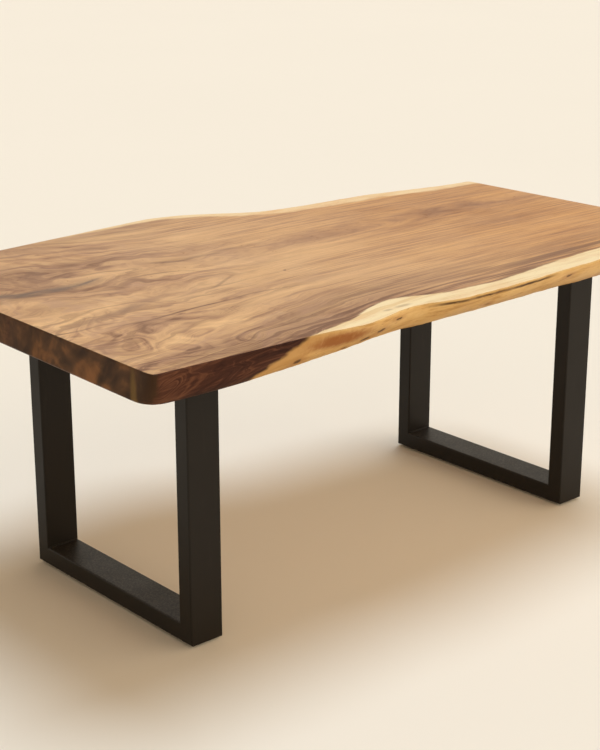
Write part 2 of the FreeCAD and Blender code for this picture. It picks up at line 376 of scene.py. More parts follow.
class Finish:
    """A surface finish that becomes one material."""

    name = "finish"

    def paint(self, graph: Graph) -> dict[str, Feed]:
        """What the shader's inputs take, in each finish of its own kind."""
        raise NotImplementedError

    def material(self) -> bpy.types.Material:
        """Builds the finish at the first call.

        Returns:
            Its material.
        """
        made = bpy.data.materials.get(self.name)
        if made is None:
            made = bpy.data.materials.new(self.name)
            made.use_nodes = True
            made.node_tree.nodes.clear()
            graph = Graph(made.node_tree)
            shader = graph.value("ShaderNodeBsdfPrincipled", self.paint(graph))
            graph.node("ShaderNodeOutputMaterial", {"Surface": shader})
        return made


@dataclass(frozen=True)
class Spot:
    """A knot or stain in the wood, by its centre and its half sizes."""

    centre: Triple
    size: Triple

    def masks(self, place: Value) -> Named:
        """Masks of the spot's core and halo."""
        return place.graph.effect("knot", Position=place, Centre=self.centre, Size=self.size)


@dataclass(frozen=True)
class OiledTop(Finish):
    """Satin oiled top: tan heartwood, partly lightened by painted sheen, with swirling figure at the left and
    a cream sapwood strip.
    """

    name = "oiled_top"
    # Heartwood tones: the wood's own colour together with a painted sheen that lightens the whole top.
    dark: Colour = srgb(124, 82, 52)
    brown: Colour = srgb(174, 129, 92)
    tan: Colour = srgb(204, 158, 111)
    gold: Colour = srgb(231, 185, 130)
    shade: Colour = srgb(138, 101, 76)
    mauve: Colour = srgb(164, 120, 97)
    umber: Colour = srgb(112, 70, 42)
    smoke: Colour = srgb(98, 79, 68)
    seam: Colour = srgb(86, 46, 18)
    warm: Colour = srgb(246, 227, 196)
    sap_low: Colour = srgb(231, 196, 140)
    sap_high: Colour = srgb(247, 223, 175)
    pin_knot: Spot = Spot((-0.209, -0.098, 0.76), (0.005, 0.004, 0.01))
    smudges: tuple[Spot, ...] = (Spot((-0.215, -0.509, 0.76), (0.014, 0.004, 0.01)),
                                 Spot((-0.266, -0.513, 0.76), (0.008, 0.003, 0.01)))

    def heartwood(self, place: Value, figure: Value, grain: Named) -> Value:
        """Four wood tones along the sum of the grain's layers, then dark shade, flames, curls and sheen.

        Args:
            place: Object coordinates.
            figure: Strength of the figure.
            grain: Layers of the wood grain.

        Returns:
            The colour.
        """
        graph = place.graph
        along, across, _ = place.parts()
        streaky = (grain["Patch"] * 0.34 + 0.20) * (figure * 0.35 + 0.65)
        whorls = across.smooth(-0.25, 0.0, 0.32, 0.08) * along.smooth(-0.62, -0.42, 1.0, 0.0)
        tone = (grain["Broad"] * 0.22 + 0.18).shaken(grain["Streak"], streaky)
        tone = tone + grain["Fibre"] * (figure * -0.26 + 0.42) + grain["Curl"] * figure * 0.26
        tone = tone.shaken(grain["Whorl"], whorls).smooth(0.32, 0.66)
        shade = graph.attribute("shade") * grain["Fibre"].smooth(0.3, 0.7, 0.95, 0.55)
        tone = tone + (grain["Broad"] - 0.52) * figure * 1.4 - graph.math("MINIMUM", shade, 0.0) * 0.8
        wood = tone.ramp((0.0, self.dark), (0.26, self.brown), (0.55, self.tan), (1.0, self.gold))
        wood = (graph.math("MAXIMUM", shade, 0.0) * 0.9).blend(wood, self.umber)
        wood = (grain["Curl"].smooth(0.48, 0.68, 0.0, 0.5) * figure).blend(wood, self.mauve)
        wood = (grain["Line"].smooth(0.54, 0.66, 0.0, 0.4) * figure).blend(wood, self.umber)
        wood = graph.blend(0.6, wood, grain["Ripple"], "SOFT_LIGHT")
        return along.smooth(-0.3, 0.7).blend(wood, self.warm, "MULTIPLY")

    def veined(self, place: Value, wood: Value) -> Value:
        """The wood with its dark lines, by their width, colour and share, and with the pin knot.

        Args:
            place: Object coordinates.
            wood: Colour of the wood.

        Returns:
            The new colour.
        """
        for line, width, colour, share in (
                ("smoke_streak", 0.034, self.smoke, 0.95), ("band_line", 0.026, self.shade, 0.85),
                ("seam_line", 0.006, self.seam, 0.7), ("front_line", 0.006, self.seam, 0.9),
                ("hook_line", 0.008, self.seam, 0.45), ("back_line", 0.008, self.seam, 0.5),
                ("ridge_line", 0.013, self.seam, 0.5), ("short_line", 0.006, self.seam, 0.4),
                ("tip_line", 0.009, self.smoke, 0.9)):
            wood = (place.graph.vein(place, line, width) * share).blend(wood, colour)
        return self.pin_knot.masks(place)["Core"].blend(wood, self.seam)

    def sapwood(self, place: Value, streak: Value, wander: Value, behind: Value) -> Value:
        """Two cream tones, duller in patches and along the back edge, with two smudges.

        Args:
            place: Object coordinates.
            streak: The grain's streaks.
            wander: Noise of the patches.
            behind: Mask of the back half.

        Returns:
            The colour.
        """
        sap = streak.smooth(0.32, 0.56).blend(self.sap_low, self.sap_high)
        dull = behind * wander.smooth(0.35, 0.6, 1.0, 0.4)
        dull = place.graph.math("MAXIMUM", dull, wander.smooth(0.34, 0.52, 0.4, 0.0))
        sap = dull.blend(sap, self.gold)
        for smudge in self.smudges:
            sap = (smudge.masks(place)["Halo"] * 0.4).blend(sap, self.shade)
        return sap

    def paint(self, graph: Graph) -> dict[str, Feed]:
        """Sapwood over veined heartwood, parted by a ragged border with dark lines beside it, and pores.

        Args:
            graph: The material's graph.

        Returns:
            What the shader's inputs take.
        """
        place = graph.position()
        _, across, _ = place.parts()
        figure = graph.attribute("figure")
        grain = graph.grain(place, figure)
        behind = across.smooth(-0.1, 0.1)
        wander = place.noise((7.0, 22.0, 22.0), 4.0, 0.6)
        depth = graph.attribute("sapwood").shaken(wander, behind * 0.034 + 0.008)
        depth = depth.shaken(grain["Fibre"], 0.014)
        beside = depth.smooth(-0.16, -0.02) * grain["Line"].smooth(0.44, 0.60) * (behind * -0.7 + 0.8)
        wood = beside.blend(self.heartwood(place, figure, grain), self.umber)
        sap = self.sapwood(place, grain["Streak"], wander, behind)
        colour = depth.smooth(behind * -0.015 - 0.003, 0.004).blend(self.veined(place, wood), sap)
        pores = grain["Pore"].smooth(0.66, 0.8)
        marks = graph.effect("handling", Position=place, Size=4.0 * MM)
        return {"Base Color": (pores * 0.35).blend(colour, self.dark),
                "Roughness": marks["Smudge"] * 0.07 + 0.40 + pores * 0.15,
                "Specular IOR Level": 0.15,
                "Normal": (grain["Fibre"] - pores * 0.6).bump(0.12, 0.6 * MM)}


@dataclass(frozen=True)
class EdgeWood:
    """Wood of the long edges: a golden natural face with knots and cracks, dark red-brown where sawn."""

    heart_dark: Colour = srgb(46, 24, 17)
    heart: Colour = srgb(66, 38, 27)
    heart_light: Colour = srgb(97, 61, 42)
    bark_side: Colour = srgb(174, 131, 77)
    gold: Colour = srgb(205, 164, 104)
    cream: Colour = srgb(215, 179, 121)
    patch: Colour = srgb(148, 94, 50)
    knot: Colour = srgb(60, 37, 20)
    slant: float = 0.10
    crack_width: float = 6.0 * MM
    stain: Spot = Spot((-0.445, -0.545, 0.735), (0.058, 0.06, 0.011))
    knots: tuple[Spot, ...] = (
        Spot((-0.545, -0.53, 0.703), (0.014, 0.03, 0.008)),
        Spot((-0.345, -0.53, 0.711), (0.022, 0.03, 0.006)),
        Spot((-0.405, -0.53, 0.703), (0.010, 0.03, 0.004)),
        Spot((-0.300, -0.54, 0.723), (0.020, 0.03, 0.008)),
        Spot((-0.245, -0.54, 0.739), (0.016, 0.03, 0.004)),
        Spot((0.332, -0.54, 0.737), (0.016, 0.03, 0.006)),
        Spot((0.05, -0.54, 0.716), (0.013, 0.03, 0.004)),
        Spot((0.42, 0.36, 0.722), (0.016, 0.03, 0.008)))

    def heartwood(self, along: Value, slanted: Value, streak: Value) -> Value:
        """Dark wood with curly lines along the contours of a cloud, lighter near the left end.

        Args:
            along: Place along the table.
            slanted: Object coordinates turned by the grain's slant.
            streak: Noise of the streaks.

        Returns:
            The colour.
        """
        wave = slanted.noise((4.0, 8.0, 17.0), 2.0, 0.5, 1.2).contours(22.0, 2.0, 0.6)
        tone = (wave * 0.5 + streak * 0.5).smooth(0.34, 0.68) + along.smooth(-0.9, -0.78, 0.36, -0.06)
        return tone.ramp((0.0, self.heart_dark), (0.55, self.heart), (1.0, self.heart_light))

    def wood(self, graph: Graph, place: Value) -> tuple[Value, Value]:
        """Two woods parted by the sapwood border, with a stain, a crack, flecks and knots on the natural one.

        Args:
            graph: The material's graph.
            place: Object coordinates.

        Returns:
            The colour and the height of the relief.
        """
        along, _, height = place.parts()
        slanted = graph.value("ShaderNodeMapping", {"Vector": place, "Rotation": (0.0, self.slant, 0.0)})
        streak = slanted.noise((5.0, 20.0, 60.0), 6.0, 0.68, 0.8)
        cloud = place.noise((6.0, 10.0, 16.0), 4.0, 0.55, 0.4)
        tone = (cloud * 0.4 + streak * 0.6).smooth(0.34, 0.66)
        natural = tone.ramp((0.0, self.bark_side), (0.45, self.gold), (1.0, self.cream))
        # Darker towards the bottom of the natural face.
        natural = height.smooth(0.690, 0.742, 0.45, 0.0).blend(natural, self.bark_side)
        natural = self.stain.masks(place)["Halo"].blend(natural, self.patch)
        dashes = place.noise((13.0, 4.0, 150.0), 5.0, 0.65).smooth(0.36, 0.48)
        crack = graph.vein(place, "crack_line", self.crack_width) * dashes
        natural = crack.blend(natural, self.knot)
        flecks = slanted.noise((40.0, 20.0, 240.0), 3.0, 0.6)
        natural = flecks.smooth(0.60, 0.72, 0.0, 0.6).blend(natural, self.patch)
        for spot in self.knots:
            masks = spot.masks(place)
            natural = (masks["Halo"] * 0.4).blend(natural, self.patch)
            natural = (masks["Core"] * 0.85).blend(natural, self.knot)
        depth = graph.attribute("sapwood").shaken(place.noise((18.0, 18.0, 40.0)), 0.016)
        natural = depth.smooth(0.0, 0.035, 0.75, 0.0).blend(natural, self.bark_side)
        colour = depth.smooth(-0.003, 0.004).blend(self.heartwood(along, slanted, streak), natural)
        return colour, cloud + streak * 0.6 - crack * 1.5


@dataclass(frozen=True)
class EndGrain:
    """Wood of the sawn ends: dark end grain with orange flame patches and fine ring lines."""

    dark: Colour = srgb(54, 37, 24)
    brown: Colour = srgb(86, 59, 37)
    flame: Colour = srgb(134, 90, 54)
    olive: Colour = srgb(134, 104, 54)
    sap: Colour = srgb(214, 172, 112)
    corner: Spot = Spot((-0.93, -0.55, 0.725), (0.03, 0.04, 0.05))
    stripe: Spot = Spot((-0.93, -0.482, 0.705), (0.05, 0.006, 0.028))

    def wood(self, graph: Graph, place: Value) -> tuple[Value, Value]:
        """Soft flames from bent noise, ring lines over them, and sapwood at the natural corners.

        Args:
            graph: The material's graph.
            place: Object coordinates.

        Returns:
            The colour and the height of the relief.
        """
        bent = place.noise((9.0, 10.0, 12.0), 2.0, 0.5, 1.8)
        flame = place.noise((4.0, 7.0, 6.0), 3.0, 0.5, 2.2)
        tone = (bent * 0.4 + flame * 0.6).smooth(0.33, 0.72)
        wood = tone.ramp((0.0, self.dark), (0.5, self.brown), (1.0, self.flame))
        lines = (bent * 0.10 + graph.attribute("ring")).contours(150.0, 3.0, 0.6)
        wood = lines.smooth(0.5, 0.75, 0.0, 0.25).blend(wood, self.dark)
        wood = (self.corner.masks(place)["Halo"] * 0.85).blend(wood, self.dark)
        wood = (self.stripe.masks(place)["Halo"] * 0.5).blend(wood, self.olive)
        wood = graph.attribute("sapwood").smooth(-0.004, 0.006).blend(wood, self.sap)
        return wood, place.noise(900.0, 2.0) + lines


@dataclass(frozen=True)
class SlabSides(Finish):
    """Long edges and sawn ends in one finish, so that the two woods run into each other at the corners."""

    name = "slab_sides"
    edge: EdgeWood = EdgeWood()
    end: EndGrain = EndGrain()

    def paint(self, graph: Graph) -> dict[str, Feed]:
        """End grain over edge wood where the mesh turns to an end, with a ragged border.

        Args:
            graph: The material's graph.

        Returns:
            What the shader's inputs take.
        """
        place = graph.position()
        edge, edge_height = self.edge.wood(graph, place)
        end, end_height = self.end.wood(graph, place)
        turned = graph.attribute("end").shaken(place.noise((60.0, 60.0, 9.0), 4.0), 1.2).smooth(0.1, 0.9)
        marks = graph.effect("handling", Position=place, Size=6.0 * MM)
        return {"Base Color": turned.blend(edge, end),
                "Roughness": marks["Smudge"] * 0.08 + 0.44,
                "Specular IOR Level": 0.06,
                "Normal": turned.blend(edge_height, end_height * 0.1 + 0.7).bump(0.25, 3.0 * MM)}


@dataclass(frozen=True)
class SandedUnderside(Finish):
    """Underside: the same streaks as the top, duller, with cross scratches from the sander."""

    name = "sanded_underside"
    dark: Colour = srgb(112, 80, 56)
    light: Colour = srgb(178, 138, 98)
    sap: Colour = srgb(214, 180, 126)

    def paint(self, graph: Graph) -> dict[str, Feed]:
        """Streaks of two tones with sapwood at the edges and a scratched relief.

        Args:
            graph: The material's graph.

        Returns:
            What the shader's inputs take.
        """
        place = graph.position()
        grain = graph.grain(place, graph.attribute("figure"))
        tone = (grain["Streak"] * 0.5 + grain["Fibre"] * 0.5).smooth(0.30, 0.70)
        wood = tone.blend(self.dark, self.light)
        scratch = place.noise((700.0, 9.0, 9.0), 3.0, 0.6, 0.3)
        return {"Base Color": graph.attribute("sapwood").smooth(-0.005, 0.005).blend(wood, self.sap),
                "Roughness": scratch * 0.15 + 0.55,
                "Normal": (scratch + grain["Fibre"]).bump(0.2, 0.6 * MM)}


@dataclass(frozen=True)
class PowderCoat(Finish):
    """Satin black powder coat with orange peel, worn a little along scuffs, with dust and a painted sheen on
    upward faces near the floor.
    """

    name = "powder_coat"
    coat: Colour = srgb(28, 23, 17)
    scuff: Colour = srgb(38, 32, 25)
    dust_and_sheen: Colour = srgb(150, 138, 120)

    def paint(self, graph: Graph) -> dict[str, Feed]:
        """Near-black coat, faint scuffs and dust, with a peel relief.

        Args:
            graph: The material's graph.

        Returns:
            What the shader's inputs take.
        """
        place = graph.position()
        marks = graph.effect("handling", Position=place, Size=2.2 * MM)
        scratch = place.noise((60.0, 60.0, 7.0), 4.0, 0.65, 0.5)
        colour = scratch.smooth(0.56, 0.75, 0.0, 0.55).blend(self.coat, self.scuff)
        # Lighter warm grey specks on low upward faces: dust, and a painted sheen on the rail tops.
        return {"Base Color": (marks["Dust"] * 0.20).blend(colour, self.dust_and_sheen),
                "Roughness": marks["Smudge"] * 0.08 + 0.42,
                "Specular IOR Level": 0.18,
                "Normal": marks["Peel"].bump(0.16, 0.4 * MM)}


@dataclass(frozen=True)
class TurnedMetal(Finish):
    """Bright metal of the fasteners, with fine lines from turning and patches of dulled plating."""

    name: str = "zinc_plate"
    bright: Colour = srgb(196, 196, 190)
    dull: Colour = srgb(150, 150, 146)

    def paint(self, graph: Graph) -> dict[str, Feed]:
        """Metal of two tones with level turning lines.

        Args:
            graph: The material's graph.

        Returns:
            What the shader's inputs take.
        """
        place = graph.position()
        marks = graph.effect("handling", Position=place, Size=0.8 * MM)
        return {"Base Color": marks["Smudge"].blend(self.bright, self.dull),
                "Metallic": 1.0,
                "Roughness": marks["Peel"] * 0.2 + 0.24,
                "Normal": place.noise((40.0, 40.0, 4200.0), 2.0).bump(0.1, 0.2 * MM)}


@dataclass(frozen=True)
class MouldedNylon(Finish):
    """Dark moulded nylon of the foot bases, finely pebbled."""

    name = "moulded_nylon"
    dark: Colour = srgb(34, 33, 31)
    worn: Colour = srgb(62, 60, 56)

    def paint(self, graph: Graph) -> dict[str, Feed]:
        """Two dark tones with a pebbled relief.

        Args:
            graph: The material's graph.

        Returns:
            What the shader's inputs take.
        """
        marks = graph.effect("handling", Position=graph.position(), Size=1.1 * MM)
        return {"Base Color": marks["Smudge"].blend(self.dark, self.worn),
                "Roughness": marks["Peel"] * 0.15 + 0.5,
                "Normal": marks["Peel"].bump(0.3, 0.2 * MM)}


@dataclass(frozen=True)
class PaleFloor(Finish):
    """Plain pale stage floor, barely mottled."""

    name = "pale_floor"
    colour: Colour = srgb(247, 238, 222)
    least: float = 0.985

    def paint(self, graph: Graph) -> dict[str, Feed]:
        """The colour, and a slightly darker one in broad patches.

        Args:
            graph: The material's graph.

        Returns:
            What the shader's inputs take.
        """
        low = (*(self.least * part for part in self.colour[:3]), 1.0)
        mottle = graph.position().noise(0.6, 2.0)
        return {"Base Color": mottle.blend(low, self.colour),
                "Roughness": 0.9,
                "Specular IOR Level": 0.1}


class Side(Enum):
    """The two legs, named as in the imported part."""

    LEFT = "left"
    RIGHT = "right"


class End(Enum):
    """The two ends of a leg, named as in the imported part."""

    FRONT = "front"
    REAR = "rear"


class Face(Enum):
    """Faces of the slab, in the order of its material slots."""

    TOP = 0
    SIDE = 1
    UNDERSIDE = 2


def spread(count: int) -> np.ndarray:
    """Shares from 0 to 1 that crowd near both ends: even steps s blended with (1 - cos(pi s)) / 2."""
    even = np.linspace(0, 1, count)
    return (1 - CROWDING) * even + CROWDING * (0.5 - 0.5 * np.cos(np.pi * even))


def grid_faces(rows: int, columns: int, first: int = 0) -> np.ndarray:
    """Quads of a grid whose points are numbered row by row.

    Args:
        rows, columns: Size of the grid in points.
        first: Number of the grid's first point.

    Returns:
        One row of four point numbers for each quad.
    """
    corner = (np.arange(rows - 1)[:, None] * columns + np.arange(columns - 1)[None, :]).ravel() + first
    return np.stack([corner, corner + 1, corner + columns + 1, corner + columns], axis=1)


def make_piece(name: str, points: np.ndarray, faces: np.ndarray, *finishes: Finish) -> bpy.types.Object:
    """Puts a surface into the scene as a smooth object at the origin.

    Args:
        name: The piece's name.
        points: Its points, as a grid or in rows.
        faces: Its quads, one row of point numbers each.
        finishes: Its finishes, in the order of their slots.

    Returns:
        The new object.
    """
    mesh = bpy.data.meshes.new(name)
    mesh.from_pydata(points.reshape(-1, 3).tolist(), [], faces.tolist())
    mesh.shade_smooth()
    for finish in finishes:
        mesh.materials.append(finish.material())
    piece = bpy.data.objects.new(name, mesh)
    bpy.context.scene.collection.objects.link(piece)
    return piece


def close_up(piece: bpy.types.Object) -> None:
    """Merges the points that meet along seams and poles and turns all faces outwards.

    Args:
        piece: The object whose mesh is closed.
    """
    shell = bmesh.new()
    shell.from_mesh(piece.data)
    bmesh.ops.remove_doubles(shell, verts=shell.verts, dist=MERGE_GAP)
    bmesh.ops.dissolve_degenerate(shell, edges=shell.edges, dist=SLIVER)
    bmesh.ops.recalc_face_normals(shell, faces=shell.faces)
    shell.to_mesh(piece.data)
    shell.free()


def dress(node: str, finish: Finish) -> bpy.types.Object:
    """Gives a CAD piece a finish.

    Args:
        node: The CAD node's name.
        finish: Its new finish.

    Returns:
        The node's object.
    """
    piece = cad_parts[node]
    piece.data.materials.clear()
    piece.data.materials.append(finish.material())
    return piece


def cad_points(node: str) -> np.ndarray:
    """The separate points of a CAD node's mesh.

    Args:
        node: The node's name.

    Returns:
        One row for each point, in metres.
    """
    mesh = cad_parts[node].data
    flat = np.empty(3 * len(mesh.vertices), np.float32)
    mesh.vertices.foreach_get("co", flat)
    return np.unique(flat.reshape(-1, 3).astype(float).round(POINT_DIGITS), axis=0)


@dataclass(frozen=True)
class Vein:
    """A dark line on the slab: its points in plan, and its strength at its start, middle and end.

    Its ends fade over the gap beyond them, from nothing at the first to full at the second of two limits.
    """

    name: str
    points: Places
    strengths: Triple
    samples: int = 80
    fade: Pair = (0.06, 0.004)

    def field(self, x: np.ndarray, y: np.ndarray) -> tuple[np.ndarray, np.ndarray]:
        """Signed distance from the line, and its strength, at each point of the slab.

        The line is a smooth curve through its points: a cubic between each two, with slopes from the
        neighbours. The nearest of its samples gives the distance, which is negative to its right.

        Args:
            x, y: Places in plan.

        Returns:
            The distances and the strengths.
        """
        points = np.array(self.points)
        share = np.linspace(0, len(points) - 1, self.samples)
        left = np.minimum(share.astype(int), len(points) - 2)
        slope = np.gradient(points, axis=0)
        curve = cubic((share - left)[:, None], points[left], slope[left], points[left + 1], slope[left + 1])
        run = np.gradient(curve, axis=0)
        run /= np.linalg.norm(run, axis=1)[:, None]
        gap = np.stack([x, y], axis=-1)[:, None, :] - curve[None]
        nearest = np.argmin((gap**2).sum(-1), axis=1)
        offset = gap[np.arange(len(nearest)), nearest]
        ahead = run[nearest]
        signed = ahead[:, 0] * offset[:, 1] - ahead[:, 1] * offset[:, 0]
        beyond = np.abs((ahead * offset).sum(-1))
        strength = np.interp(nearest / (self.samples - 1), (0, 0.5, 1), self.strengths)
        return signed, strength * ease(beyond, *self.fade)


@dataclass(frozen=True)
class Bell:
    """A soft oval patch in plan: its centre, its half length and width, its slope, and its amount."""

    x: float
    y: float
    length: float
    width: float
    slope: float
    amount: float

    def field(self, x: np.ndarray, y: np.ndarray) -> np.ndarray:
        """Bell curve of the offsets along and across the patch, times its amount.

        Args:
            x, y: Places in plan.

        Returns:
            The value at each place.
        """
        along = x - self.x
        across = y - self.y - self.slope * along
        return self.amount * np.exp(-(along / self.length) ** 2 - (across / self.width) ** 2)


@dataclass(frozen=True)
class Patch:
    """One grid of the slab's surface, with the gaps to its front and back faces at each point."""

    face: Face
    points: np.ndarray
    front: np.ndarray
    back: np.ndarray


@dataclass
class LiveEdgeSlab:
    """The slab: six grid patches between outlines that are read from the CAD slab.

    Swirls push the rings aside. Tones darken the top, or lighten it where their amount is below 0. The
    sapwood's width is listed along each edge, and the crack's height along the front edge. A fade gives the
    places where a value is 0 and where it is 1.
    """

    node: str = "live_edge_slab"
    columns: int = 320
    rows: int = 104
    layers: int = 22
    inner_half: Pair = (0.68, 0.26)
    height_digits: int = 4
    height_gap: float = 1e-4
    least_points: int = 60
    smoothing: int = 8
    skin: float = 0.5 * MM
    end_fade: Pair = (0.900, 0.936)
    corner_power: int = 8
    relief: float = 4.5 * MM
    relief_mean: float = 0.5
    relief_swing: float = 1.3
    relief_fade: Pair = (-0.01, 0.03)
    wave_count: int = 16
    wave_lengths: Pair = (0.024, 0.45)
    wave_slant: float = 60.0
    front_seed: int = 5
    back_seed: int = 9
    pith_depth: float = 0.24
    stem_y: float = 0.11
    fan: float = 0.28
    fan_from: float = -0.25
    fan_sharpness: float = 12.0
    fan_y: float = -0.04
    fan_width: float = 0.28
    figure_fade: Pair = (0.02, -0.50)
    swirls: tuple[Bell, ...] = (
        Bell(-0.84, -0.38, 0.0825, 0.055, 0.0, 0.045), Bell(-0.66, -0.47, 0.0675, 0.045, 0.0, 0.035),
        Bell(-0.76, 0.02, 0.09, 0.06, 0.0, -0.04), Bell(-0.62, 0.19, 0.09, 0.06, 0.0, 0.04),
        Bell(-0.40, -0.03, 0.075, 0.05, 0.0, -0.03), Bell(-0.88, 0.27, 0.09, 0.06, 0.0, 0.04))
    sap_front: Places = (
        (-0.94, -0.10), (-0.53, 0.0), (-0.45, 0.023), (-0.38, 0.047), (-0.29, 0.072), (-0.21, 0.076),
        (-0.14, 0.072), (-0.03, 0.058), (0.12, 0.049), (0.30, 0.064), (0.51, 0.072), (0.94, 0.060))
    sap_back: Places = (
        (-0.94, -0.10), (-0.40, 0.0), (-0.14, 0.014), (0.0, 0.028), (0.2, 0.040), (0.6, 0.040), (0.94, 0.028))
    sap_slant: float = 2.0
    veins: tuple[Vein, ...] = (
        Vein("seam_line", ((-0.94, -0.192), (-0.868, -0.201), (-0.813, -0.195), (-0.765, -0.202)),
             (1.0, 0.7, 0.2)),
        Vein("band_line", ((-0.88, -0.162), (-0.784, -0.154), (-0.707, -0.138), (-0.631, -0.108),
                           (-0.560, -0.090)), (0.4, 1.0, 0.2)),
        Vein("front_line", ((-0.77, -0.227), (-0.707, -0.232), (-0.59, -0.220), (-0.474, -0.217),
                            (-0.386, -0.209), (-0.273, -0.226)), (0.5, 1.0, 0.2)),
        Vein("hook_line", ((-0.57, -0.127), (-0.48, -0.115), (-0.433, -0.110), (-0.367, -0.072)),
             (0.3, 1.0, 1.0)),
        Vein("back_line", ((-0.553, 0.079), (-0.505, 0.085), (-0.452, 0.077), (-0.405, 0.060),
                           (-0.36, 0.021)), (0.5, 1.0, 0.3)),
        Vein("ridge_line", ((-0.394, 0.160), (-0.346, 0.140), (-0.29, 0.143), (-0.243, 0.142),
                            (-0.18, 0.155), (-0.126, 0.151)), (1.0, 0.8, 0.3)),
        Vein("short_line", ((-0.67, 0.039), (-0.631, 0.028), (-0.588, -0.010)), (0.8, 1.0, 0.3)),
        Vein("smoke_streak", ((-0.96, 0.160), (-0.848, 0.136), (-0.804, 0.118), (-0.74, 0.111),
                              (-0.674, 0.107), (-0.621, 0.120)), (0.7, 1.0, 0.3)),
        Vein("tip_line", ((-0.71, 0.109), (-0.66, 0.110), (-0.625, 0.121)), (0.3, 0.8, 1.0)))
    tones: tuple[Bell, ...] = (
        Bell(-0.73, 0.26, 0.19, 0.110, -0.10, 0.75), Bell(-0.45, 0.50, 0.36, 0.050, 0.06, 0.45),
        Bell(-0.80, 0.10, 0.16, 0.040, -0.10, 0.70), Bell(-0.80, -0.02, 0.12, 0.040, -0.20, 0.50),
        Bell(-0.68, -0.53, 0.20, 0.050, 0.00, 0.80), Bell(-0.88, -0.40, 0.05, 0.060, 0.00, 0.40),
        Bell(-0.45, -0.42, 0.18, 0.055, 0.20, 0.55), Bell(-0.15, -0.37, 0.26, 0.060, 0.08, 0.42),
        Bell(0.35, -0.37, 0.36, 0.050, 0.00, 0.25), Bell(-0.66, -0.20, 0.10, 0.015, 0.05, 0.25),
        Bell(0.60, 0.10, 0.46, 0.300, 0.00, 0.16), Bell(-0.34, 0.15, 0.08, 0.020, -0.05, 0.50),
        Bell(-0.50, 0.27, 0.12, 0.022, -0.10, 0.50), Bell(-0.52, -0.28, 0.10, 0.020, 0.25, 0.40),
        Bell(-0.45, -0.14, 0.26, 0.060, 0.20, -0.45), Bell(-0.10, 0.00, 0.30, 0.120, 0.05, -0.35),
        Bell(-0.57, 0.17, 0.12, 0.030, -0.25, -0.60), Bell(-0.90, -0.12, 0.06, 0.035, 0.00, -0.60),
        Bell(-0.72, -0.07, 0.09, 0.025, 0.20, -0.50), Bell(-0.83, 0.06, 0.08, 0.018, 0.00, -0.55),
        Bell(-0.57, -0.36, 0.07, 0.035, 0.20, -0.60), Bell(-0.77, -0.37, 0.05, 0.030, 0.20, -0.50),
        Bell(-0.20, 0.33, 0.20, 0.050, 0.00, -0.25))
    crack: Places = ((-0.14, 0.753), (-0.009, 0.752), (0.127, 0.752), (0.27, 0.755))
    crack_left_fade: Pair = (-0.18, -0.10)
    crack_right_fade: Pair = (0.29, 0.20)
    crack_depth: float = 1.6 * MM
    crack_half: float = 2.2 * MM

    def outlines(self) -> tuple[np.ndarray, list[np.ndarray]]:
        """Reads the CAD slab's outlines.

        The points of one height are put in order by their angle about the middle and parted at the four
        corners, which reach furthest along the diagonals. Each run is resampled by its length.

        Returns:
            The heights, and for the front, back, left and right runs an array of (height, place, xyz).
        """
        points = cad_points(self.node)
        inside = (np.abs(points[:, 0]) < self.inner_half[0]) & (np.abs(points[:, 1]) < self.inner_half[1])
        points = points[~inside]
        heights, counts = np.unique(points[:, 2].round(self.height_digits), return_counts=True)
        heights = heights[counts > self.least_points]
        diagonals = np.array([(-1, -1), (1, -1), (1, 1), (-1, 1)])
        runs: list[list[np.ndarray]] = [[], [], [], []]
        for height in heights:
            loop = points[np.abs(points[:, 2] - height) < self.height_gap]
            loop = loop[np.argsort(np.arctan2(loop[:, 1], loop[:, 0]))]
            corner = np.argmax(loop[:, :2] @ diagonals.T, axis=0)
            left = np.concatenate([loop[corner[3]:], loop[:corner[0] + 1]])[::-1]
            loops = (loop[corner[0]:corner[1] + 1], loop[corner[2]:corner[3] + 1][::-1], left,
                     loop[corner[1]:corner[2] + 1])
            for kept, run, count in zip(runs, loops, (self.columns, self.columns, self.rows, self.rows)):
                kept.append(self.resampled(run, count))
        return heights, [np.array(kept) for kept in runs]

    def resampled(self, run: np.ndarray, count: int) -> np.ndarray:
        """A run with a set number of points, spread by length and smoothed by averages of neighbours.

        Args:
            run: Points in order.
            count: Number of points wanted.

        Returns:
            The new points, with the same two ends.
        """
        steps = np.linalg.norm(np.diff(run, axis=0), axis=1)
        place = np.concatenate([[0], np.cumsum(steps)]) / steps.sum()
        points = np.stack([np.interp(spread(count), place, run[:, axis]) for axis in range(3)], axis=-1)
        for _ in range(self.smoothing):
            points[1:-1] = 0.5 * points[1:-1] + 0.25 * (points[:-2] + points[2:])
        return points

    def layered(self, heights: np.ndarray, run: np.ndarray) -> np.ndarray:
        """A run at every layer: a cubic through the outlines with slopes that never overshoot.

        A slope is the harmonic mean of the two beside it, or 0 where they differ in sign.

        Args:
            heights: Heights of the outlines.
            run: Points as (outline, place, xyz).

        Returns:
            Points as (layer, place, xyz).
        """
        gap = np.diff(heights)[:, None, None]
        chord = np.diff(run, axis=0) / gap
        product = chord[:-1] * chord[1:]
        total = np.where(product > 0, chord[:-1] + chord[1:], 1.0)
        middle = np.where(product > 0, 2 * product / total, 0.0)
        slope = np.concatenate([chord[:1], middle, chord[-1:]])
        level = heights[0] + (heights[-1] - heights[0]) * spread(self.layers)
        below = np.clip(np.searchsorted(heights, level, "right") - 1, 0, len(heights) - 2)
        size = gap[below]
        share = (level - heights[below])[:, None, None] / size
        return cubic(share, run[below], size * slope[below], run[below + 1], size * slope[below + 1])

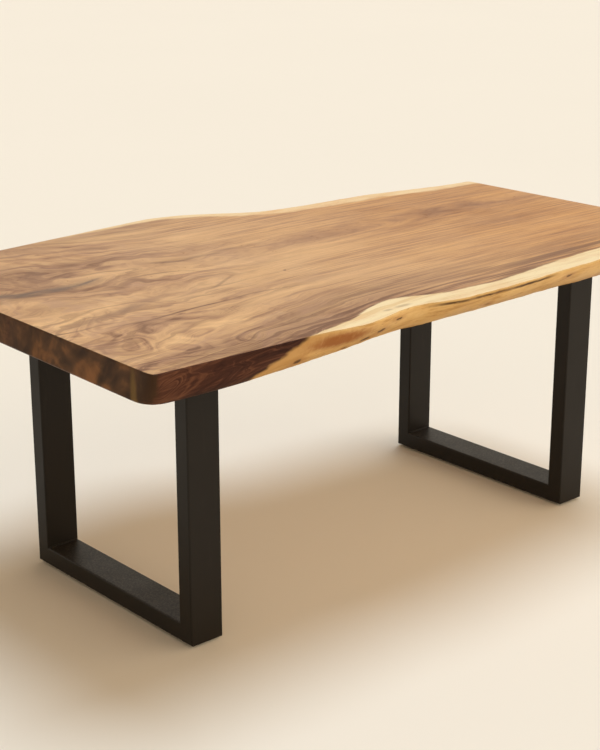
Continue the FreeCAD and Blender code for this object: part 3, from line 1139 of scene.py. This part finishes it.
    def weathered(self, run: np.ndarray, depth: np.ndarray, outward: float, seed: int) -> np.ndarray:
        """A long edge pressed inwards by the relief of its natural face, and at the front by its crack.

        The relief is a sum of sine waves of set lengths and seeded slants and phases, higher for longer ones.
        The crack is a groove with the section of a bell curve. No point comes nearer to the CAD face than
        the skin.

        Args:
            run: Points as (layer, place, xyz).
            depth: Sapwood depth at each point, which is above 0 on the natural face.
            outward: -1 for the front and 1 for the back.
            seed: Seed of the waves.

        Returns:
            The moved points.
        """
        random = np.random.default_rng(seed)
        length = np.geomspace(*self.wave_lengths, self.wave_count)
        slant = random.uniform(-self.wave_slant, self.wave_slant, self.wave_count)
        phase = random.uniform(0, 2 * np.pi, self.wave_count)
        turn = (2 * np.pi / length) * run[..., :1] + slant * run[..., 2:] + phase
        height = np.sqrt(length)
        waves = np.sum(height * np.sin(turn), axis=-1) / np.sum(height)
        raised = self.relief_mean + self.relief_swing * waves
        inward = self.skin + self.relief * raised * ease(depth, *self.relief_fade)
        if outward < 0:
            gap, strength = self.crack_field(run)
            inward += self.crack_depth * strength * np.exp(-(gap / self.crack_half) ** 2)
        moved = run.copy()
        moved[..., 1] -= outward * np.clip(inward, self.skin, None)
        return moved

    def crack_field(self, points: np.ndarray) -> tuple[np.ndarray, np.ndarray]:
        """Place against the long crack of the front edge, which fades at both ends.

        Args:
            points: Places on the slab.

        Returns:
            The height above the crack, and the crack's strength.
        """
        x, y, z = np.moveaxis(points, -1, 0)
        strength = ease(x, *self.crack_left_fade) * ease(x, *self.crack_right_fade) * (y < 0)
        return z - np.interp(x, *np.transpose(self.crack)), strength

    def sapwood(self, points: np.ndarray, front: np.ndarray, back: np.ndarray) -> np.ndarray:
        """Depth inside the sapwood, below 0 in heartwood: its local width less the gap to the natural face.

        Args:
            points: Places on the slab.
            front, back: Gaps to the front and back faces at each place.

        Returns:
            The depth at each place.
        """
        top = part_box(self.node)[1].z
        x = points[..., 0] + self.sap_slant * (top - points[..., 2])
        front_width = np.interp(x, *np.transpose(self.sap_front))
        back_width = np.interp(x, *np.transpose(self.sap_back))
        return np.maximum(front_width - front, back_width - back)

    def ring(self, points: np.ndarray) -> np.ndarray:
        """Distance from the pith below the top, in wood that fans out to both edges at the left and swirls.

        The place across is y, drawn towards the middle line by a fan that grows towards the left and levels
        off across, plus a bell-shaped push round the middle of each swirl.

        Args:
            points: Places on the slab.

        Returns:
            The distance at each place.
        """
        x, y, z = np.moveaxis(points, -1, 0)
        grown = np.log1p(np.exp(-(x - self.fan_from) * self.fan_sharpness)) / self.fan_sharpness
        across = y - self.fan * grown * np.tanh((y - self.fan_y) / self.fan_width)
        across = across + sum(swirl.field(x, y) for swirl in self.swirls)
        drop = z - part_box(self.node)[1].z + self.pith_depth
        return np.hypot(across - self.stem_y, drop)

    def patches(self) -> list[Patch]:
        """Works out the slab's surface.

        The ends follow the long edges at their corners. Top and underside are each the sum of the two blends
        between opposite edges, less the blend of the four corners.

        Returns:
            The front, back, left, right, top and bottom patches.
        """
        heights, runs = self.outlines()
        front, back, left, right = [self.layered(heights, run) for run in runs]
        zero = np.zeros(front.shape[:2])
        far = zero + 1.0
        front = self.weathered(front, self.sapwood(front, zero, far), -1.0, self.front_seed)
        back = self.weathered(back, self.sapwood(back, far, zero), 1.0, self.back_seed)
        found = [Patch(Face.SIDE, front, zero, far), Patch(Face.SIDE, back, far, zero)]
        u = spread(self.columns)[:, None, None]
        v = spread(self.rows)[None, :, None]
        for end, place in ((left, 0), (right, -1)):
            shift_front = (front[:, place] - end[:, 0])[:, None]
            shift_back = (back[:, place] - end[:, -1])[:, None]
            end += (1 - v)**self.corner_power * shift_front + v**self.corner_power * shift_back
            y = end[..., 1]
            found.append(Patch(Face.SIDE, end, y - y[:, :1], y[:, -1:] - y))
        for face, layer in ((Face.TOP, -1), (Face.UNDERSIDE, 0)):
            low, high = front[layer][:, None], back[layer][:, None]
            first, last = left[layer][None], right[layer][None]
            corners = (1 - u) * ((1 - v) * low[:1] + v * high[:1]) + u * ((1 - v) * low[-1:] + v * high[-1:])
            sheet = (1 - v) * low + v * high + (1 - u) * first + u * last - corners
            x, y, _ = np.moveaxis(sheet, -1, 0)
            y_front = np.interp(x, front[layer][:, 0], front[layer][:, 1])
            y_back = np.interp(x, back[layer][:, 0], back[layer][:, 1])
            found.append(Patch(face, sheet, y - y_front, y_back - y))
        return found

    @staticmethod
    def carry(mesh: bpy.types.Mesh, name: str, *values: np.ndarray) -> None:
        """Stores one value at each point of the mesh, or two as the first components of a vector.

        Args:
            mesh: The mesh that carries them.
            name: Name of the attribute.
            values: One or two arrays of values.
        """
        if len(values) == 1:
            kept = mesh.attributes.new(name, "FLOAT", "POINT")
            kept.data.foreach_set("value", values[0].astype(np.float32))
        else:
            vectors = np.stack([*values, np.zeros_like(values[0])], axis=-1)
            kept = mesh.attributes.new(name, "FLOAT_VECTOR", "POINT")
            kept.data.foreach_set("vector", vectors.astype(np.float32).ravel())

    def build(self) -> bpy.types.Object:
        """Makes the slab's mesh with its faces, its carried values and its finishes.

        Returns:
            The slab's object.
        """
        patches = self.patches()
        points = np.concatenate([patch.points.reshape(-1, 3) for patch in patches])
        front = np.concatenate([patch.front.ravel() for patch in patches])
        back = np.concatenate([patch.back.ravel() for patch in patches])
        faces, slots, first = [], [], 0
        for patch in patches:
            quads = grid_faces(*patch.front.shape, first)
            faces.append(quads)
            slots.append(np.full(len(quads), patch.face.value, np.int32))
            first += patch.front.size
        piece = make_piece("slab", points, np.concatenate(faces), OiledTop(), SlabSides(), SandedUnderside())
        mesh = piece.data
        mesh.polygons.foreach_set("material_index", np.concatenate(slots))
        x, y, _ = points.T
        self.carry(mesh, "ring", self.ring(points))
        self.carry(mesh, "sapwood", self.sapwood(points, front, back))
        self.carry(mesh, "figure", ease(x, *self.figure_fade))
        self.carry(mesh, "shade", sum(tone.field(x, y) for tone in self.tones))
        self.carry(mesh, "end", ease(np.abs(x), *self.end_fade))
        for vein in self.veins:
            self.carry(mesh, vein.name, *vein.field(x, y))
        self.carry(mesh, "crack_line", *self.crack_field(points))
        close_up(piece)
        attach(piece, "table")
        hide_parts(self.node)
        return piece


@dataclass
class SteelLeg:
    """One welded U leg: its CAD tubes and plate in powder coat, with weld beads in the inner corners."""

    side: Side
    bead: float = 3.5 * MM
    ripple: float = 0.1
    ripple_pitch: float = 2.6 * MM
    runout: float = 0.03
    steps: int = 120
    around: int = 10

    def node(self, piece: str) -> str:
        """Name of one of this leg's CAD nodes."""
        return f"{self.side.value}_{piece}"

    def weld(self, name: str, corner: Pair, out: Pair) -> bpy.types.Object:
        """A fillet weld along X: a quarter round whose radius ripples and runs out to 0 at both ends.

        Args:
            name: The piece's name.
            corner: Y and Z of the inner corner.
            out: Signs of Y and Z that lead out of the corner.

        Returns:
            The bead's object.
        """
        low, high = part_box(self.node("floor_rail"))
        x = np.linspace(low.x + self.bead, high.x - self.bead, self.steps)[:, None]
        share = np.linspace(0, 1, self.steps)[:, None]
        tapered = np.sqrt(np.clip(np.minimum(share, 1 - share) / self.runout, 0, 1))
        rippled = 1 - self.ripple + self.ripple * np.abs(np.sin(np.pi * x / self.ripple_pitch))
        radius = self.bead * tapered * rippled
        turn = np.linspace(0, np.pi / 2, self.around)[None, :]
        closed = np.zeros((self.steps, 1))
        y = corner[0] + out[0] * np.concatenate([closed, radius * np.cos(turn), closed], axis=1)
        z = corner[1] + out[1] * np.concatenate([closed, radius * np.sin(turn), closed], axis=1)
        points = np.stack([np.broadcast_to(x, y.shape), y, z], axis=-1)
        piece = make_piece(name, points, grid_faces(*y.shape), PowderCoat())
        close_up(piece)
        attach(piece, "table")
        return piece

    def build(self) -> list[bpy.types.Object]:
        """Dresses the CAD tubes and plate and adds the four weld beads.

        Returns:
            The CAD objects and the beads.
        """
        names = ("front_upright", "rear_upright", "floor_rail", "mounting_plate")
        pieces = [dress(self.node(name), PowderCoat()) for name in names]
        rail_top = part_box(self.node("floor_rail"))[1].z
        plate_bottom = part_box(self.node("mounting_plate"))[0].z
        for end, sign in ((End.FRONT, 1.0), (End.REAR, -1.0)):
            low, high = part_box(self.node(end.value + "_upright"))
            inner = high.y if sign > 0 else low.y
            for place, height, up in (("foot", rail_top, 1.0), ("head", plate_bottom, -1.0)):
                name = self.node(f"{end.value}_{place}_weld")
                pieces.append(self.weld(name, (inner, height), (sign, up)))
        return pieces


@dataclass
class PlateFasteners:
    """Bolts, washers, inserts and rivet nuts of one leg, as CAD pieces in plated metal."""

    side: Side
    steel: TurnedMetal = TurnedMetal()
    brass: TurnedMetal = TurnedMetal("turned_brass", srgb(214, 178, 98), srgb(170, 134, 66))

    def build(self) -> list[bpy.types.Object]:
        """Dresses the CAD fasteners.

        Returns:
            Their objects.
        """
        finishes = {"plate_bolts": self.steel, "plate_washers": self.steel, "plate_inserts": self.brass,
                    "foot_nuts": self.steel}
        return [dress(f"{self.side.value}_{name}", finish) for name, finish in finishes.items()]


@dataclass
class LevellingFoot:
    """One foot: a threaded stem with a spanner hexagon, which replaces the CAD stem, on its nylon base."""

    side: Side
    end: End
    shank: float = 4.0 * MM
    pitch: float = 1.25 * MM
    thread_depth: float = 0.65 * MM
    flats: float = 13.0 * MM
    hexagon_height: float = 2.2 * MM
    chamfer: float = 1.56 * MM
    chamfer_height: float = 0.3 * MM
    pilot: float = 5.0 * MM
    pilot_length: float = 2.6 * MM
    sharp_angle: float = 35.0
    around: int = 48
    turn_steps: int = 10

    @property
    def name(self) -> str:
        """Stem of the foot's node and body names."""
        return f"{self.side.value}_{self.end.value}_foot"

    def profile(self, bottom: float, top: float) -> np.ndarray:
        """Rows of the stem from the bottom up: a pilot, a hexagon with chamfered corners, and a thread.

        Args:
            bottom, top: Heights of the stem's ends.

        Returns:
            Height, greatest radius and depth of the thread for each row.
        """
        low = bottom + self.pilot_length
        high = low + self.hexagon_height
        corner = self.flats / math.sqrt(3)
        eased = corner - self.chamfer
        below = [(bottom, 0.0, 0.0), (bottom, self.pilot, 0.0), (low, self.pilot, 0.0), (low, eased, 0.0),
                 (low + self.chamfer_height, corner, 0.0), (high - self.chamfer_height, corner, 0.0),
                 (high, eased, 0.0), (high, self.shank, 0.0)]
        turns = np.arange(high, top, self.pitch / self.turn_steps)
        thread = np.column_stack([turns, np.full((len(turns), 2), (self.shank, self.thread_depth))])
        above = [(top, self.shank - self.thread_depth, 0.0), (top, 0.0, 0.0)]
        return np.concatenate([below, thread, above])

    def stem(self) -> bpy.types.Object:
        """The stem as one surface of revolution whose radius changes with the angle.

        The hexagon's radius is half its flats over the cosine of the angle to the nearest flat. The thread is
        a triangle wave of height less pitch times turn, cut into the shank.

        Returns:
            The stem's object.
        """
        low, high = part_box(self.name + "_stem")
        centre = (low + high) / 2
        heights, limits, depths = self.profile(low.z, high.z).T[:, :, None]
        turn = np.linspace(0, 2 * np.pi, self.around + 1)[None, :]
        hexagon = self.flats / 2 / np.cos(np.mod(turn, np.pi / 3) - np.pi / 6)
        phase = np.mod(heights / self.pitch - turn / (2 * np.pi), 1.0)
        radius = np.minimum(limits, hexagon) - depths * np.abs(2 * phase - 1)
        points = np.stack([centre.x + radius * np.cos(turn), centre.y + radius * np.sin(turn),
                           np.broadcast_to(heights, radius.shape)], axis=-1)
        piece = make_piece(self.name + "_threaded_stem", points, grid_faces(*radius.shape), TurnedMetal())
        close_up(piece)
        piece.data.set_sharp_from_angle(angle=math.radians(self.sharp_angle))
        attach(piece, self.name + "_stem")
        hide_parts(self.name + "_stem")
        return piece

    def build(self) -> list[bpy.types.Object]:
        """Makes the stem, dresses the CAD base and gives both objects."""
        return [self.stem(), dress(self.name + "_base", MouldedNylon())]


@dataclass
class Studio:
    """Pale floor, soft overhead light and the camera at the photograph's viewing angle."""

    eye: Triple = (-2.7124, -3.0207, 1.7594)
    pitch_down: float = 18.2
    yaw: float = 41.12
    lens: float = 79.19
    sensor: float = 36.0
    floor_finish: PaleFloor = PaleFloor()
    floor_half: float = 400.0
    floor_points: int = 7
    fill_colour: Colour = (0.97, 0.80, 0.60, 1.0)
    fill_strength: float = 1.75
    fill_slope: Pair = (0.6, -0.6)
    fill_least: float = 0.1
    key_colour: Triple = (0.72, 0.85, 1.0)
    key_strength: float = 2.0
    key_angle: float = 32.0
    key_tilt: Pair = (-2.0, 14.0)

    def floor(self) -> None:
        """A level grid far wider than the view."""
        side = np.linspace(-self.floor_half, self.floor_half, self.floor_points)
        x, y = np.meshgrid(side, side)
        points = np.stack([x, y, np.zeros_like(x)], axis=-1)
        piece = make_piece("floor", points, grid_faces(*x.shape), self.floor_finish)

    def surroundings(self) -> None:
        """Warm light from all round, strongest near the horizon and in front.

        The camera and reflections see the floor's colour beyond the floor.
        """
        world = bpy.data.worlds.new("studio")
        world.use_nodes = True
        world.node_tree.nodes.clear()
        graph = Graph(world.node_tree)
        x, y, z = graph.value("ShaderNodeTexCoord", output="Generated").parts()
        side = x * self.fill_slope[0] + y * self.fill_slope[1] + 1.0
        low = graph.math("SUBTRACT", 1.0, graph.math("MAXIMUM", z, 0.0))
        level = low * graph.math("MAXIMUM", side, self.fill_least) * self.fill_strength
        fill = graph.value("ShaderNodeBackground", {"Color": self.fill_colour, "Strength": level})
        seen = graph.value("ShaderNodeBackground", {"Color": self.floor_finish.colour})
        rays = graph.node("ShaderNodeLightPath").outputs
        camera, glossy, passed = [Value(graph, rays[f"Is {kind} Ray"])
                                  for kind in ("Camera", "Glossy", "Transmission")]
        direct = graph.math("MAXIMUM", graph.math("MAXIMUM", camera, glossy), passed)
        mixed = graph.value("ShaderNodeMixShader", {0: direct, 1: fill, 2: seen})
        graph.node("ShaderNodeOutputWorld", {"Surface": mixed})
        bpy.context.scene.world = world

    def lamp(self) -> None:
        """A broad cool lamp above the table."""
        data = bpy.data.lights.new("overhead", "SUN")
        data.energy = self.key_strength
        data.color = self.key_colour
        data.angle = math.radians(self.key_angle)
        lamp = bpy.data.objects.new("overhead", data)
        lamp.rotation_euler = (math.radians(self.key_tilt[0]), math.radians(self.key_tilt[1]), 0.0)
        bpy.context.scene.collection.objects.link(lamp)

    def camera(self) -> None:
        """The camera, turned down and to the right of +Y, with no shift."""
        data = bpy.data.cameras.new("camera")
        data.lens = self.lens
        data.sensor_width = self.sensor
        camera = bpy.data.objects.new("camera", data)
        camera.location = self.eye
        camera.rotation_euler = (math.radians(90 - self.pitch_down), 0.0, math.radians(-self.yaw))
        bpy.context.scene.collection.objects.link(camera)
        bpy.context.scene.camera = camera

    def build(self) -> None:
        """Sets up floor, light and camera."""
        self.floor()
        self.surroundings()
        self.lamp()
        self.camera()
        bpy.context.scene.view_settings.view_transform = "Standard"


def main() -> None:
    """Builds the table's pieces in order and reports each of them."""
    logging.basicConfig(level=logging.INFO, format="%(message)s")
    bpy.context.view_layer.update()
    SharedEffects.build()
    pieces = [LiveEdgeSlab().build()]
    for side in Side:
        pieces += SteelLeg(side).build()
        pieces += PlateFasteners(side).build()
        for end in End:
            pieces += LevellingFoot(side, end).build()
    for piece in pieces:
        log.info("%s: %d faces", piece.name, len(piece.data.polygons))
    Studio().build()


if __name__ == "__main__":
    main()
